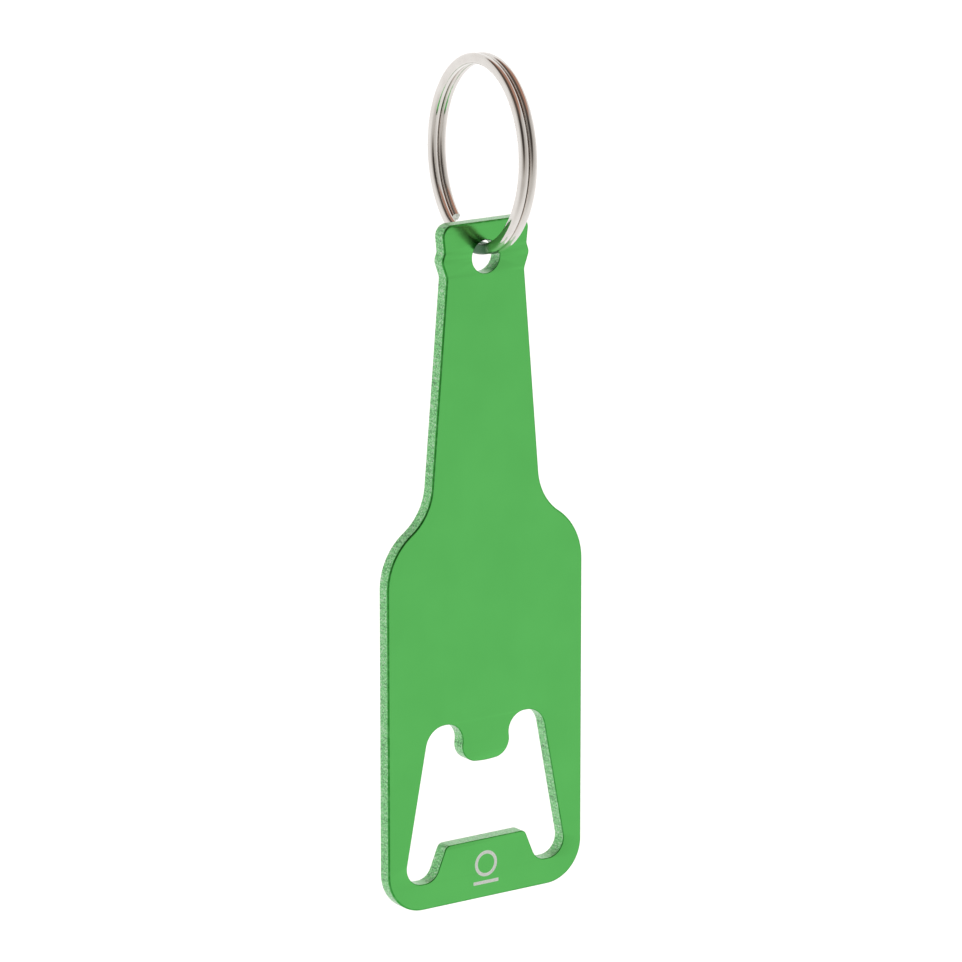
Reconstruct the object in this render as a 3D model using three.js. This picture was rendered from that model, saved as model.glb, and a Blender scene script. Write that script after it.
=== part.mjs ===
// Keychain bottle opener: a flat bottle-shaped opener hanging on a split ring.
// Sizes are in millimetres. +Z is up, X runs across the opener and -Y is its front.
// The parts are drawn with the middle of the opener's bottom edge at zero. At the end both
// move so that the frame's origin is the inside of the ring's top, where the part is hung up.
import * as THREE from "three";

// Opener plate
const plateLength = 100;
const plateWidth = 34;
const plateThickness = 2.2;
const edgeRounding = 0.2;
const arcStep = Math.PI / 36;

const holeRadius = 2.4;
const holeHeight = 94.85;

// Split ring: two turns of flattened wire lying side by side
const ringOuterRadius = 14.25;
const wireRadialSize = 1.55;
const wireAxialSize = 1.2;
const wireCornerRadius = 0.5;
const gapBetweenTurns = 0.1;
const ringCentre = new THREE.Vector3(1, 1.45, 109.15);
const ringTurnDegrees = -6.5;
const ringLeanDegrees = 2;

// Places round the ring, in degrees from straight back, counted upwards
const wireEndAngle = -52;
const crossoverSpan = 34;
const sweepStep = 4;

// The right half of the outline, from the bottom edge up, as corners to be rounded
const outlineCorners = [
  { x: plateWidth / 2, z: 0, radius: 6 },
  { x: plateWidth / 2, z: 53.2, radius: 9.4 },
  { x: 9.6, z: 58.3, radius: 8.5 },
  { x: 6.7, z: 92.4, radius: 1.5 },
  { x: 7.55, z: 94.8, radius: 1.4 },
  { x: 7.1, z: 96.05, radius: 0.8 },
  { x: 7.55, z: plateLength, radius: 1.7 },
];

// The right half of the cap opening: tooth, upper lobe, slanted side, lower lobe and tab
const openingCorners = [
  { x: 4.5, z: 21.1, radius: 2.6 },
  { x: 3.6, z: 27.1, radius: 2.8 },
  { x: 9.9, z: 27.1, radius: 3.3 },
  { x: 14.4, z: 3.9, radius: 2.7 },
  { x: 9.0, z: 3.9, radius: 2.4 },
  { x: 6.9, z: 8.9, radius: 1.0 },
];
const toothTip = { x: 0, z: 20.7, radius: 15 };

function mirrored(corners) {
  return corners.map((corner) => ({ ...corner, x: -corner.x })).reverse();
}

// Points of a closed outline whose corners are replaced with tangent arcs
function roundedOutline(corners) {
  const points = [];
  corners.forEach((corner, index) => {
    const here = new THREE.Vector2(corner.x, corner.z);
    const before = corners[(index + corners.length - 1) % corners.length];
    const after = corners[(index + 1) % corners.length];
    const toBefore = new THREE.Vector2(before.x, before.z).sub(here).normalize();
    const toAfter = new THREE.Vector2(after.x, after.z).sub(here).normalize();
    const halfAngle = Math.acos(toBefore.dot(toAfter)) / 2;
    const bisector = toBefore.clone().add(toAfter).normalize();
    const centre = here.clone().addScaledVector(bisector, corner.radius / Math.sin(halfAngle));
    const tangentLength = corner.radius / Math.tan(halfAngle);
    const start = here.clone().addScaledVector(toBefore, tangentLength).sub(centre);
    const turn = Math.PI - 2 * halfAngle;
    const direction = Math.sign(toBefore.cross(toAfter)) * -1;
    const steps = Math.max(2, Math.ceil(turn / arcStep));
    for (let step = 0; step <= steps; step += 1) {
      const angle = (direction * turn * step) / steps;
      points.push(start.clone().rotateAround(new THREE.Vector2(), angle).add(centre));
    }
  });
  return points;
}

function makePlate() {
  const outline = new THREE.Shape(
    roundedOutline([...outlineCorners, ...mirrored(outlineCorners)]),
  );
  const opening = new THREE.Path(
    roundedOutline([toothTip, ...openingCorners, ...mirrored(openingCorners)]),
  );
  const hole = new THREE.Path();
  hole.absarc(0, holeHeight, holeRadius, 0, 2 * Math.PI, true);
  outline.holes.push(opening, hole);
  const geometry = new THREE.ExtrudeGeometry(outline, {
    depth: plateThickness - 2 * edgeRounding,
    curveSegments: 48,
    bevelSize: edgeRounding,
    bevelOffset: -edgeRounding,
    bevelThickness: edgeRounding,
    bevelSegments: 2,
  });
  geometry.translate(0, 0, edgeRounding - plateThickness / 2);
  geometry.rotateX(Math.PI / 2);
  return geometry;
}

// Outline of the wire's section, as offsets along the ring's axis and outwards from it
function wireSection() {
  const corners = [
    [1, 1],
    [-1, 1],
    [-1, -1],
    [1, -1],
  ].map(([side, out]) => ({
    x: (side * wireAxialSize) / 2,
    z: (out * wireRadialSize) / 2,
    radius: wireCornerRadius,
  }));
  const stepsPerCorner = 3;
  return corners.flatMap((corner, index) => {
    const points = [];
    for (let step = 0; step <= stepsPerCorner; step += 1) {
      const angle = (Math.PI / 2) * (index + step / stepsPerCorner);
      points.push({
        axial: corner.x - Math.sign(corner.x) * corner.radius + corner.radius * Math.cos(angle),
        radial: corner.z - Math.sign(corner.z) * corner.radius + corner.radius * Math.sin(angle),
      });
    }
    return points;
  });
}

// The wire runs one turn on the left, crosses over, and runs the other turn on the right
function makeRing() {
  const section = wireSection();
  const meanRadius = ringOuterRadius - wireRadialSize / 2;
  const turnOffset = (wireAxialSize + gapBetweenTurns) / 2;
  const totalSpan = 720 - crossoverSpan;
  const steps = Math.round(totalSpan / sweepStep);
  const positions = [];
  for (let step = 0; step <= steps; step += 1) {
    const turned = (totalSpan * step) / steps;
    const angle = THREE.MathUtils.degToRad(wireEndAngle - crossoverSpan - turned);
    const crossed = THREE.MathUtils.smoothstep(turned, 360 - crossoverSpan, 360);
    const side = turnOffset * (2 * crossed - 1);
    for (const point of section) {
      const radius = meanRadius + point.radial;
      positions.push(side + point.axial, radius * Math.cos(angle), radius * Math.sin(angle));
    }
  }
  const count = section.length;
  const indices = [];
  for (let step = 0; step < steps; step += 1) {
    for (let k = 0; k < count; k += 1) {
      const a = step * count + k;
      const b = step * count + ((k + 1) % count);
      indices.push(a, a + count, b, b, a + count, b + count);
    }
  }
  const lastRow = steps * count;
  for (let k = 1; k < count - 1; k += 1) {
    indices.push(0, k, k + 1);
    indices.push(lastRow, lastRow + k + 1, lastRow + k);
  }
  const geometry = new THREE.BufferGeometry();
  geometry.setAttribute("position", new THREE.Float32BufferAttribute(positions, 3));
  geometry.setIndex(indices);
  geometry.rotateY(THREE.MathUtils.degToRad(ringLeanDegrees));
  geometry.rotateZ(THREE.MathUtils.degToRad(ringTurnDegrees));
  geometry.translate(...ringCentre);
  geometry.computeVertexNormals();
  return geometry;
}

// The inside of the ring's top
function hangPoint() {
  const up = new THREE.Vector3(0, 0, ringOuterRadius - wireRadialSize);
  up.applyAxisAngle(new THREE.Vector3(0, 1, 0), THREE.MathUtils.degToRad(ringLeanDegrees));
  up.applyAxisAngle(new THREE.Vector3(0, 0, 1), THREE.MathUtils.degToRad(ringTurnDegrees));
  return up.add(ringCentre);
}

const anodisedGreen = new THREE.MeshStandardMaterial({
  color: 0x4fae55,
  roughness: 0.32,
  metalness: 0.9,
});
const nickelPlate = new THREE.MeshStandardMaterial({
  color: 0xcfc8c2,
  roughness: 0.12,
  metalness: 1,
});

const group = new THREE.Group();
const origin = hangPoint();

function addNode(name, geometry, material) {
  geometry.translate(-origin.x, -origin.y, -origin.z);
  const mesh = new THREE.Mesh(geometry, material);
  mesh.name = name;
  group.add(mesh);
}

addNode("opener_plate", makePlate(), anodisedGreen);
addNode("split_ring", makeRing(), nickelPlate);

export default group;
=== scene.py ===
"""Looks for the keychain bottle opener: a green anodised opener on a nickel-plated split ring."""

import math

import bpy
from mathutils import Matrix, Vector
from mathutils.geometry import tessellate_polygon


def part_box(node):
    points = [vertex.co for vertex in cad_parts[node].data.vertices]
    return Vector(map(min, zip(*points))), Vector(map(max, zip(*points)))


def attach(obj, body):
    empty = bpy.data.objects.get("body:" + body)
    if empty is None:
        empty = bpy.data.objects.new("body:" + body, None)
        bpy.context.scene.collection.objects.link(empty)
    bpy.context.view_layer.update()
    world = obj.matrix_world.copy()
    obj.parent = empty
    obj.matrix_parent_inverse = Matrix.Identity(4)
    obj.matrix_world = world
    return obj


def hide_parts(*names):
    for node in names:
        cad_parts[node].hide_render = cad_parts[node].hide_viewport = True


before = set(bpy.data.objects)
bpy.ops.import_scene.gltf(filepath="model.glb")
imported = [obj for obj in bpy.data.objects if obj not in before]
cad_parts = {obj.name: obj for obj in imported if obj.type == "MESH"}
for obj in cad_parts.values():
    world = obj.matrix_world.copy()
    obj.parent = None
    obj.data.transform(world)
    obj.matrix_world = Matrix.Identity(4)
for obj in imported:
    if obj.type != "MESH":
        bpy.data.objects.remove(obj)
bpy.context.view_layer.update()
scene = bpy.context.scene

# ---------------------------------------------------------------- sizes, in metres
MM = 0.001
plate_low, plate_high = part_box("opener_plate")
plate_foot = Vector(
    ((plate_low.x + plate_high.x) / 2, (plate_low.y + plate_high.y) / 2, plate_low.z)
)
plate_thickness = plate_high.y - plate_low.y
plate_length = plate_high.z - plate_low.z
plate_half_width = (plate_high.x - plate_low.x) / 2

front_rounding = 0.24 * MM
back_rounding = 0.20 * MM
opening_rounding = 0.12 * MM
arc_step = math.radians(3)
arc_steps = 6
smooth_angle = math.radians(50)

hole_radius = 2.4 * MM
hole_height = 94.85 * MM
hole_rounding = 0.08 * MM

mark_ring_radius = 1.7 * MM
mark_ring_height = 5.1 * MM
mark_bar_length = 4.4 * MM
mark_bar_height = 2.3 * MM
mark_stroke = 0.5 * MM

ring_outer_radius = 14.25 * MM
wire_radial_size = 1.55 * MM
wire_axial_size = 1.2 * MM
wire_corner_radius = 0.5 * MM
wire_corner_steps = 6
gap_between_turns = 0.1 * MM
ring_centre = plate_foot + Vector((1, 1.45, 109.15)) * MM
ring_turn = math.radians(-6.5)
ring_lean = math.radians(2)
wire_end_angle = math.radians(-52)
crossover_span = math.radians(34)
sweep_step = math.radians(2)

# The stretch of the wire painted dark green, a painted reflection of the plate in shade, and made
# rougher, as distances behind the middle of the plate's thickness
shade_and_dulling_begins = -4.2 * MM
shade_and_dulling_full_from = -2.4 * MM
shade_and_dulling_full_to = 4 * MM
shade_and_dulling_ends = 7 * MM

# Corners (x, z, radius) in millimetres from the middle of the plate's bottom edge
outline_corners = [
    (plate_half_width / MM, 0, 6),
    (plate_half_width / MM, 53.2, 9.4),
    (9.6, 58.3, 8.5),
    (6.7, 92.4, 1.5),
    (7.55, 94.8, 1.4),
    (7.1, 96.05, 0.8),
    (7.55, plate_length / MM, 1.7),
]
opening_corners = [
    (4.5, 21.1, 2.6),
    (3.6, 27.1, 2.8),
    (9.9, 27.1, 3.3),
    (14.4, 3.9, 2.7),
    (9.0, 3.9, 2.4),
    (6.9, 8.9, 1.0),
]
tooth_tip = (0, 20.7, 15)


# ---------------------------------------------------------------- shapes
def mirrored(corners):
    """The left half of an outline, from its right half."""
    return [(-x, z, radius) for x, z, radius in reversed(corners)]


def rounded_outline(corners):
    """Points of a closed outline whose corners are replaced with tangent arcs."""
    points = []
    for i, (x, z, radius) in enumerate(corners):
        here = Vector((x, z))
        before = (Vector(corners[i - 1][:2]) - here).normalized()
        after = (Vector(corners[(i + 1) % len(corners)][:2]) - here).normalized()
        half_angle = math.acos(before.dot(after)) / 2
        centre = here + (before + after).normalized() * radius / math.sin(half_angle)
        start = here + before * radius / math.tan(half_angle) - centre
        turn = math.pi - 2 * half_angle
        if before.cross(after) > 0:
            turn = -turn
        steps = max(2, math.ceil(abs(turn) / arc_step))
        for step in range(steps + 1):
            points.append((centre + Matrix.Rotation(turn * step / steps, 2) @ start) * MM)
    return points


def circle_outline(centre, radius):
    """Points of a circle, clockwise as seen from the front."""
    steps = math.ceil(2 * math.pi / arc_step)
    angles = [-2 * math.pi * step / steps for step in range(steps)]
    return [centre + radius * Vector((math.cos(a), math.sin(a))) for a in angles]


def inset(outline, distance):
    """The outline moved into the metal, which lies on its left."""
    moved = []
    for i, point in enumerate(outline):
        along = (outline[(i + 1) % len(outline)] - outline[i - 1]).normalized()
        moved.append(point + Vector((-along.y, along.x)) * distance)
    return moved


def add_object(name, vertices, faces, materials, face_slots):
    """A mesh object, shaded smooth where its faces meet at a shallow angle."""
    mesh = bpy.data.meshes.new(name)
    mesh.from_pydata(vertices, [], faces)
    for material in materials:
        mesh.materials.append(material)
    mesh.polygons.foreach_set("material_index", face_slots)
    mesh.polygons.foreach_set("use_smooth", [True] * len(faces))
    mesh.set_sharp_from_angle(angle=smooth_angle)
    mesh.validate()
    piece = bpy.data.objects.new(name, mesh)
    scene.collection.objects.link(piece)
    return piece


def edge_profile(front, back):
    """Rows through the plate from its front rounding to its back one: inset and depth."""
    rows = []
    for step in range(arc_steps + 1):
        angle = math.pi / 2 * step / arc_steps
        rows.append((front * (1 - math.sin(angle)), front * (1 - math.cos(angle))))
    for step in range(arc_steps + 1):
        angle = math.pi / 2 * step / arc_steps
        deep = plate_thickness - back * (1 - math.sin(angle))
        rows.append((back * (1 - math.cos(angle)), deep))
    return rows


def faces_back(corners):
    """True where a triangle's corners run round it so that it faces along +Y."""
    a, b, c = (Vector(corner) for corner in corners)
    return (b - a).cross(c - a).y > 0


def make_plate(flat, rounding, wall):
    """The opener: its two flat faces, and a rounded wall along each of its three outlines."""
    corners = outline_corners + mirrored(outline_corners)
    opening = [tooth_tip] + opening_corners + mirrored(opening_corners)
    outlines = [
        (rounded_outline(corners), front_rounding, back_rounding),
        (rounded_outline(opening), opening_rounding, opening_rounding),
        (circle_outline(Vector((0, hole_height)), hole_radius), hole_rounding, hole_rounding),
    ]
    # Material slots: 0 the flat faces, 1 the front rounding, 2 the wall and the back rounding
    vertices, faces, slots = [], [], []
    last_row = 2 * arc_steps + 1
    face_loops = {0: [], last_row: []}
    for outline, front, back in outlines:
        rows = edge_profile(front, back)
        first = len(vertices)
        count = len(outline)
        for row, (away, deep) in enumerate(rows):
            loop = inset(outline, away)
            if row in face_loops:
                face_loops[row].append((len(vertices), loop))
            for point in loop:
                y = plate_foot.y - plate_thickness / 2 + deep
                vertices.append((plate_foot.x + point.x, y, plate_foot.z + point.y))
        for row in range(last_row):
            for i in range(count):
                a = first + row * count + i
                b = first + row * count + (i + 1) % count
                faces.append((a, a + count, b + count, b))
                slots.append(1 if row < arc_steps else 2)
    for row, loops in face_loops.items():
        numbers = [start + i for start, loop in loops for i in range(len(loop))]
        flat_loops = [[Vector((p.x, p.y, 0)) for p in loop] for _, loop in loops]
        for triangle in tessellate_polygon(flat_loops):
            triangle = tuple(numbers[i] for i in triangle)
            outwards = faces_back([vertices[i] for i in triangle]) == (row == last_row)
            faces.append(triangle if outwards else triangle[::-1])
            slots.append(0)
    piece = add_object("anodised_opener", vertices, faces, [flat, rounding, wall], slots)
    weighted = piece.modifiers.new("flat faces stay flat", "WEIGHTED_NORMAL")
    weighted.weight = 100
    weighted.keep_sharp = True
    return piece


def wire_section():
    """Section of the wire, as offsets along the ring's axis and outwards from it."""
    points = []
    for index, (side, out) in enumerate([(1, 1), (-1, 1), (-1, -1), (1, -1)]):
        middle_axial = side * (wire_axial_size / 2 - wire_corner_radius)
        middle_radial = out * (wire_radial_size / 2 - wire_corner_radius)
        for step in range(wire_corner_steps + 1):
            angle = math.pi / 2 * (index + step / wire_corner_steps)
            axial = middle_axial + wire_corner_radius * math.cos(angle)
            radial = middle_radial + wire_corner_radius * math.sin(angle)
            points.append((axial, radial))
    return points


def smoothstep(x):
    """0 up to x = 0 and 1 from x = 1, with an even curve between."""
    x = min(1, max(0, x))
    return x * x * (3 - 2 * x)


def make_ring(coating, cut):
    """The wire swept through one turn, across to the other side, and through a second turn."""
    section = wire_section()
    mean_radius = ring_outer_radius - wire_radial_size / 2
    offset = (wire_axial_size + gap_between_turns) / 2
    total_span = 4 * math.pi - crossover_span
    steps = math.ceil(total_span / sweep_step)
    placing = (
        Matrix.Translation(ring_centre)
        @ Matrix.Rotation(ring_turn, 4, "Z")
        @ Matrix.Rotation(ring_lean, 4, "Y")
    )
    vertices, faces, slots = [], [], []
    count = len(section)
    for step in range(steps + 1):
        turned = total_span * step / steps
        angle = wire_end_angle - crossover_span - turned
        crossed = smoothstep((turned - 2 * math.pi + crossover_span) / crossover_span)
        side = offset * (2 * crossed - 1)
        for axial, radial in section:
            radius = mean_radius + radial
            point = (side + axial, radius * math.cos(angle), radius * math.sin(angle))
            vertices.append(placing @ Vector(point))
    for step in range(steps):
        for k in range(count):
            a = step * count + k
            b = step * count + (k + 1) % count
            faces.append((a, a + count, b + count, b))
            slots.append(0)
    last = steps * count
    faces.append(tuple(range(count)))
    faces.append(tuple(last + k for k in reversed(range(count))))
    slots += [1, 1]
    piece = add_object("key_ring", vertices, faces, [coating, cut], slots)
    # Where each point lies on the wire, so that the drawn lines can follow it
    wire_place = piece.data.attributes.new("wire_place", "FLOAT_VECTOR", "POINT")
    for number, value in enumerate(wire_place.data):
        axial, radial = section[number % count]
        along = total_span * (number // count) / steps * mean_radius
        value.vector = (axial, radial, along)
    return piece


# ---------------------------------------------------------------- materials
class Nodes:
    """Short ways to add procedural nodes to a tree."""

    def __init__(self, tree, place):
        self.tree = tree
        self.place = self.add("ShaderNodeTexCoord").outputs[place]

    def add(self, kind, **sockets):
        made = self.tree.nodes.new(kind)
        for name, value in sockets.items():
            self.feed(made.inputs[name.replace("_", " ")], value)
        return made

    def feed(self, socket, value):
        if isinstance(value, bpy.types.NodeSocket):
            self.tree.links.new(value, socket)
        else:
            socket.default_value = value

    def math(self, operation, a, b=0.0, c=0.0):
        made = self.tree.nodes.new("ShaderNodeMath")
        made.operation = operation
        for socket, value in zip(made.inputs, (a, b, c)):
            self.feed(socket, value)
        return made.outputs[0]

    def noise(self, scale, detail=3.0, stretch=(1, 1, 1), place=None):
        mapped = self.add("ShaderNodeMapping", Vector=place or self.place, Scale=stretch)
        made = self.add("ShaderNodeTexNoise", Vector=mapped.outputs[0], Scale=scale, Detail=detail)
        return made.outputs["Fac"]

    def ramp(self, value, low, high, out_low, out_high):
        made = self.tree.nodes.new("ShaderNodeMapRange")
        made.clamp = True
        for socket, number in zip(made.inputs, (value, low, high, out_low, out_high)):
            self.feed(socket, number)
        return made.outputs[0]

    def mix(self, fac, colour_a, colour_b):
        made = self.tree.nodes.new("ShaderNodeMix")
        made.data_type = "RGBA"
        self.feed(made.inputs["Factor"], fac)
        for socket, colour in zip((made.inputs[6], made.inputs[7]), (colour_a, colour_b)):
            self.feed(socket, colour if isinstance(colour, bpy.types.NodeSocket) else (*colour, 1))
        return made.outputs[2]


class Surface(Nodes):
    """A Principled material."""

    def __init__(self, name, metallic, roughness):
        self.material = bpy.data.materials.new(name)
        self.material.use_nodes = True
        super().__init__(self.material.node_tree, "Object")
        self.shader = self.tree.nodes["Principled BSDF"]
        self.set("Metallic", metallic)
        self.set("Roughness", roughness)

    def bump(self, height, strength, distance):
        made = self.add("ShaderNodeBump", Height=height, Strength=strength, Distance=distance)
        self.feed(self.shader.inputs["Normal"], made.outputs[0])

    def set(self, name, value):
        self.feed(self.shader.inputs[name], value)


def band(surface, value, middle, half_width):
    """1 where value is within half_width of middle, with a soft edge."""
    distance = surface.math("ABSOLUTE", surface.math("SUBTRACT", value, middle))
    softness = 0.04 * MM
    return surface.ramp(distance, half_width - softness, half_width + softness, 1, 0)


def laser_mark(surface):
    """A plain ring over a short bar, in bare metal, low on the front face."""
    parts = surface.add("ShaderNodeSeparateXYZ", Vector=surface.place)
    x = surface.math("SUBTRACT", parts.outputs[0], plate_foot.x)
    z = surface.math("SUBTRACT", parts.outputs[2], plate_foot.z)
    up = surface.math("SUBTRACT", z, mark_ring_height)
    squares = surface.math("ADD", surface.math("MULTIPLY", x, x), surface.math("MULTIPLY", up, up))
    ring_line = band(surface, surface.math("SQRT", squares), mark_ring_radius, mark_stroke / 2)
    across = band(surface, x, 0, mark_bar_length / 2)
    bar = surface.math("MULTIPLY", across, band(surface, z, mark_bar_height, mark_stroke / 2))
    front = surface.math("LESS_THAN", parts.outputs[1], plate_foot.y)
    return surface.math("MULTIPLY", surface.math("MAXIMUM", ring_line, bar), front)


def face_metal():
    """Green anodising with a fine upright grain, under a clear coat."""
    surface = Surface("anodised_face", 1.0, 0.18)
    cloud = surface.noise(140, 4)
    grain = surface.noise(2600, 3, (1, 1, 0.04))
    speckle = surface.noise(5200, 2)
    green = surface.mix(
        surface.ramp(cloud, 0.3, 0.7, 0, 1), (0.086, 0.60, 0.094), (0.096, 0.63, 0.104)
    )
    silver = surface.mix(
        surface.ramp(speckle, 0.3, 0.7, 0, 1), (0.70, 0.78, 0.70), (0.95, 0.97, 0.95)
    )
    mark = laser_mark(surface)
    surface.set("Base Color", surface.mix(mark, green, silver))
    satin = surface.ramp(grain, 0.3, 0.7, 0.16, 0.20)
    surface.set("Roughness", surface.math("MAXIMUM", satin, surface.math("MULTIPLY", mark, 0.5)))
    surface.set("Coat Weight", 1.0)
    surface.set("Coat IOR", 1.6)
    surface.set("Coat Roughness", 0.2)
    height = surface.math("ADD", grain, surface.math("MULTIPLY", mark, speckle))
    surface.bump(height, 0.06, 0.01 * MM)
    return surface.material


def rounding_painted_dark():
    """The rounded rim of the faces, in a darker green than the faces as a painted dark reflection
    line along the edges, worn a little lighter in places.
    """
    surface = Surface("anodised_rounding_painted_dark", 1.0, 0.3)
    worn = surface.noise(1500, 4)
    # The rim's green is darker than the faces' green: a painted dark reflection line along the
    # edges. The lighter patches are wear.
    surface.set(
        "Base Color",
        surface.mix(surface.ramp(worn, 0.45, 0.75, 0, 1), (0.06, 0.42, 0.07), (0.14, 0.58, 0.16)),
    )
    surface.set("Roughness", surface.ramp(worn, 0.3, 0.7, 0.25, 0.4))
    surface.bump(worn, 0.2, 0.02 * MM)
    return surface.material


def wall_metal():
    """The stamped edge: rougher than the faces, speckled and streaked across the thickness."""
    surface = Surface("anodised_wall", 1.0, 0.4)
    streaks = surface.noise(2600, 3, (1, 0.2, 1))
    speckle = surface.noise(4400, 3)
    mixed = surface.math(
        "ADD", surface.math("MULTIPLY", streaks, 0.35), surface.math("MULTIPLY", speckle, 0.65)
    )
    green = surface.mix(
        surface.ramp(mixed, 0.38, 0.50, 0, 1), (0.015, 0.18, 0.03), (0.17, 0.70, 0.19)
    )
    chips = surface.ramp(mixed, 0.54, 0.60, 0, 0.9)
    surface.set("Base Color", surface.mix(chips, green, (0.62, 0.80, 0.62)))
    surface.set("Roughness", surface.ramp(streaks, 0.3, 0.7, 0.35, 0.55))
    surface.set("Coat Weight", 1.0)
    surface.set("Coat IOR", 1.75)
    surface.set("Coat Roughness", 0.3)
    surface.bump(mixed, 0.6, 0.05 * MM)
    return surface.material


def plating():
    """Nickel with fine lines drawn along the wire, rougher where it rubs in the hole and painted
    dark green there as a painted reflection of the plate in shade.
    """
    surface = Surface("nickel_plating", 1.0, 0.1)
    wire_place = surface.add("ShaderNodeAttribute")
    wire_place.attribute_name = "wire_place"
    drawn = surface.noise(9000, 2, (1, 1, 0.012), wire_place.outputs["Vector"])
    cloud = surface.noise(300, 3)
    fine = surface.noise(4000, 3)
    bright = surface.mix(
        surface.ramp(cloud, 0.35, 0.65, 0, 1), (0.80, 0.76, 0.73), (0.86, 0.83, 0.80)
    )
    parts = surface.add("ShaderNodeSeparateXYZ", Vector=surface.place)
    depth = surface.math("SUBTRACT", parts.outputs[1], plate_foot.y)
    in_front = surface.ramp(depth, shade_and_dulling_begins, shade_and_dulling_full_from, 0, 0.97)
    behind = surface.ramp(depth, shade_and_dulling_full_to, shade_and_dulling_ends, 1, 0)
    low = surface.math("LESS_THAN", parts.outputs[2], ring_centre.z)
    painted_shade_and_dulling = surface.math("MULTIPLY", low, surface.math("MULTIPLY", in_front, behind))
    # Near the plate and below the ring's middle the wire is painted dark green: a painted
    # reflection of the plate in its shade. The same mask also makes it rougher.
    surface.set("Base Color", surface.mix(painted_shade_and_dulling, bright, (0.03, 0.13, 0.05)))
    polish = surface.ramp(fine, 0.3, 0.7, 0.06, 0.16)
    surface.set("Roughness", surface.math("ADD", polish, surface.math("MULTIPLY", painted_shade_and_dulling, 0.2)))
    surface.bump(surface.math("ADD", drawn, surface.math("MULTIPLY", cloud, 0.3)), 0.35, 0.02 * MM)
    return surface.material


def cut_metal():
    """The sheared ends of the wire."""
    surface = Surface("cut_wire_end", 0.8, 0.4)
    torn = surface.noise(3500, 4)
    surface.set(
        "Base Color",
        surface.mix(surface.ramp(torn, 0.3, 0.7, 0, 1), (0.55, 0.53, 0.51), (0.90, 0.88, 0.86)),
    )
    surface.bump(torn, 0.5, 0.04 * MM)
    return surface.material


# ---------------------------------------------------------------- pieces
opener = make_plate(face_metal(), rounding_painted_dark(), wall_metal())
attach(opener, "opener")
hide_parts("opener_plate")

ring = make_ring(plating(), cut_metal())
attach(ring, "ring")
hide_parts("split_ring")


# ---------------------------------------------------------------- floor, light and camera
floor_radius = 6
floor_drop = 0.06
camera_azimuth = math.radians(-35)
camera_elevation = math.radians(13.8)
camera_distance = 0.806
camera_target = plate_foot + Vector((-0.12, 0, 62)) * MM
camera_lens = 211.2
dark_room_direction = (-0.497, -0.709, 0.5)
wall_tones = [
    (0.00, (1.0, 1.0, 1.0, 1)),
    (0.45, (0.86, 0.85, 0.83, 1)),
    (0.55, (0.77, 0.76, 0.74, 1)),
    (0.68, (0.62, 0.60, 0.58, 1)),
    (0.83, (0.55, 0.53, 0.50, 1)),
    (0.91, (0.23, 0.21, 0.19, 1)),
    (0.97, (0.05, 0.045, 0.04, 1)),
]
ceiling_left = (0.11, 0.085, 0.07)
ceiling_right = (0.46, 0.26, 0.19)


def make_floor():
    """A pale floor. Polished metal sees the surround's own lower half in its place."""
    surface = Surface("studio_floor", 0.0, 0.9)
    tone = surface.noise(2, 2)
    surface.set("Base Color", surface.mix(tone, (0.90, 0.90, 0.90), (0.93, 0.93, 0.93)))
    z = plate_foot.z - floor_drop
    count = 96
    rim = [2 * math.pi * i / count for i in range(count)]
    vertices = [(floor_radius * math.cos(a), floor_radius * math.sin(a), z) for a in rim]
    floor = add_object("floor", vertices, [tuple(range(count))], [surface.material], [0])
    floor.visible_glossy = False


def add_overhead_light():
    """Broad light from above for the matt surfaces. Polished ones see the dark ceiling."""
    light = bpy.data.lights.new("overhead", "SUN")
    light.energy = 2.9
    light.angle = math.radians(120)
    overhead = bpy.data.objects.new("overhead", light)
    overhead.rotation_euler = (math.radians(10), math.radians(-8), 0)
    overhead.visible_glossy = False
    scene.collection.objects.link(overhead)


def make_camera():
    """A long lens, to the left of the front and a little above."""
    level = math.cos(camera_elevation)
    back = Vector(
        (
            math.sin(camera_azimuth) * level,
            -math.cos(camera_azimuth) * level,
            math.sin(camera_elevation),
        )
    )
    data = bpy.data.cameras.new("camera")
    data.sensor_width = 36
    data.lens = camera_lens
    data.clip_start = 0.05
    data.clip_end = 50
    camera = bpy.data.objects.new("camera", data)
    camera.location = camera_target + back * camera_distance
    camera.rotation_euler = (-back).to_track_quat("-Z", "Y").to_euler()
    scene.collection.objects.link(camera)
    scene.camera = camera


def make_world():
    """What the metal reflects: a dark room behind the camera, white walls and a dark ceiling.

    The camera itself sees plain white, like the floor.
    """
    world = bpy.data.worlds.new("studio")
    scene.world = world
    world.use_nodes = True
    nodes = Nodes(world.node_tree, "Generated")
    parts = nodes.add("ShaderNodeSeparateXYZ", Vector=nodes.place)

    facing = nodes.add("ShaderNodeVectorMath", Vector=nodes.place)
    facing.operation = "DOT_PRODUCT"
    facing.inputs[1].default_value = dark_room_direction
    walls = nodes.add("ShaderNodeValToRGB", Fac=nodes.ramp(facing.outputs["Value"], -1, 1, 0, 1))
    stops = walls.color_ramp.elements
    stops.remove(stops[0])
    stops[0].position, stops[0].color = wall_tones[0]
    for position, colour in wall_tones[1:]:
        stops.new(position).color = colour

    height = parts.outputs[2]
    ceiling = nodes.mix(nodes.ramp(parts.outputs[0], 0.05, 0.35, 0, 1), ceiling_left, ceiling_right)
    colour = nodes.mix(nodes.ramp(height, 0.65, 0.75, 0, 1), walls.outputs["Color"], ceiling)
    seen = nodes.add("ShaderNodeLightPath").outputs["Is Camera Ray"]
    nodes.feed(nodes.tree.nodes["Background"].inputs["Color"], nodes.mix(seen, colour, (1, 1, 1)))


make_floor()
add_overhead_light()
make_camera()
make_world()
scene.view_settings.view_transform = "Standard"
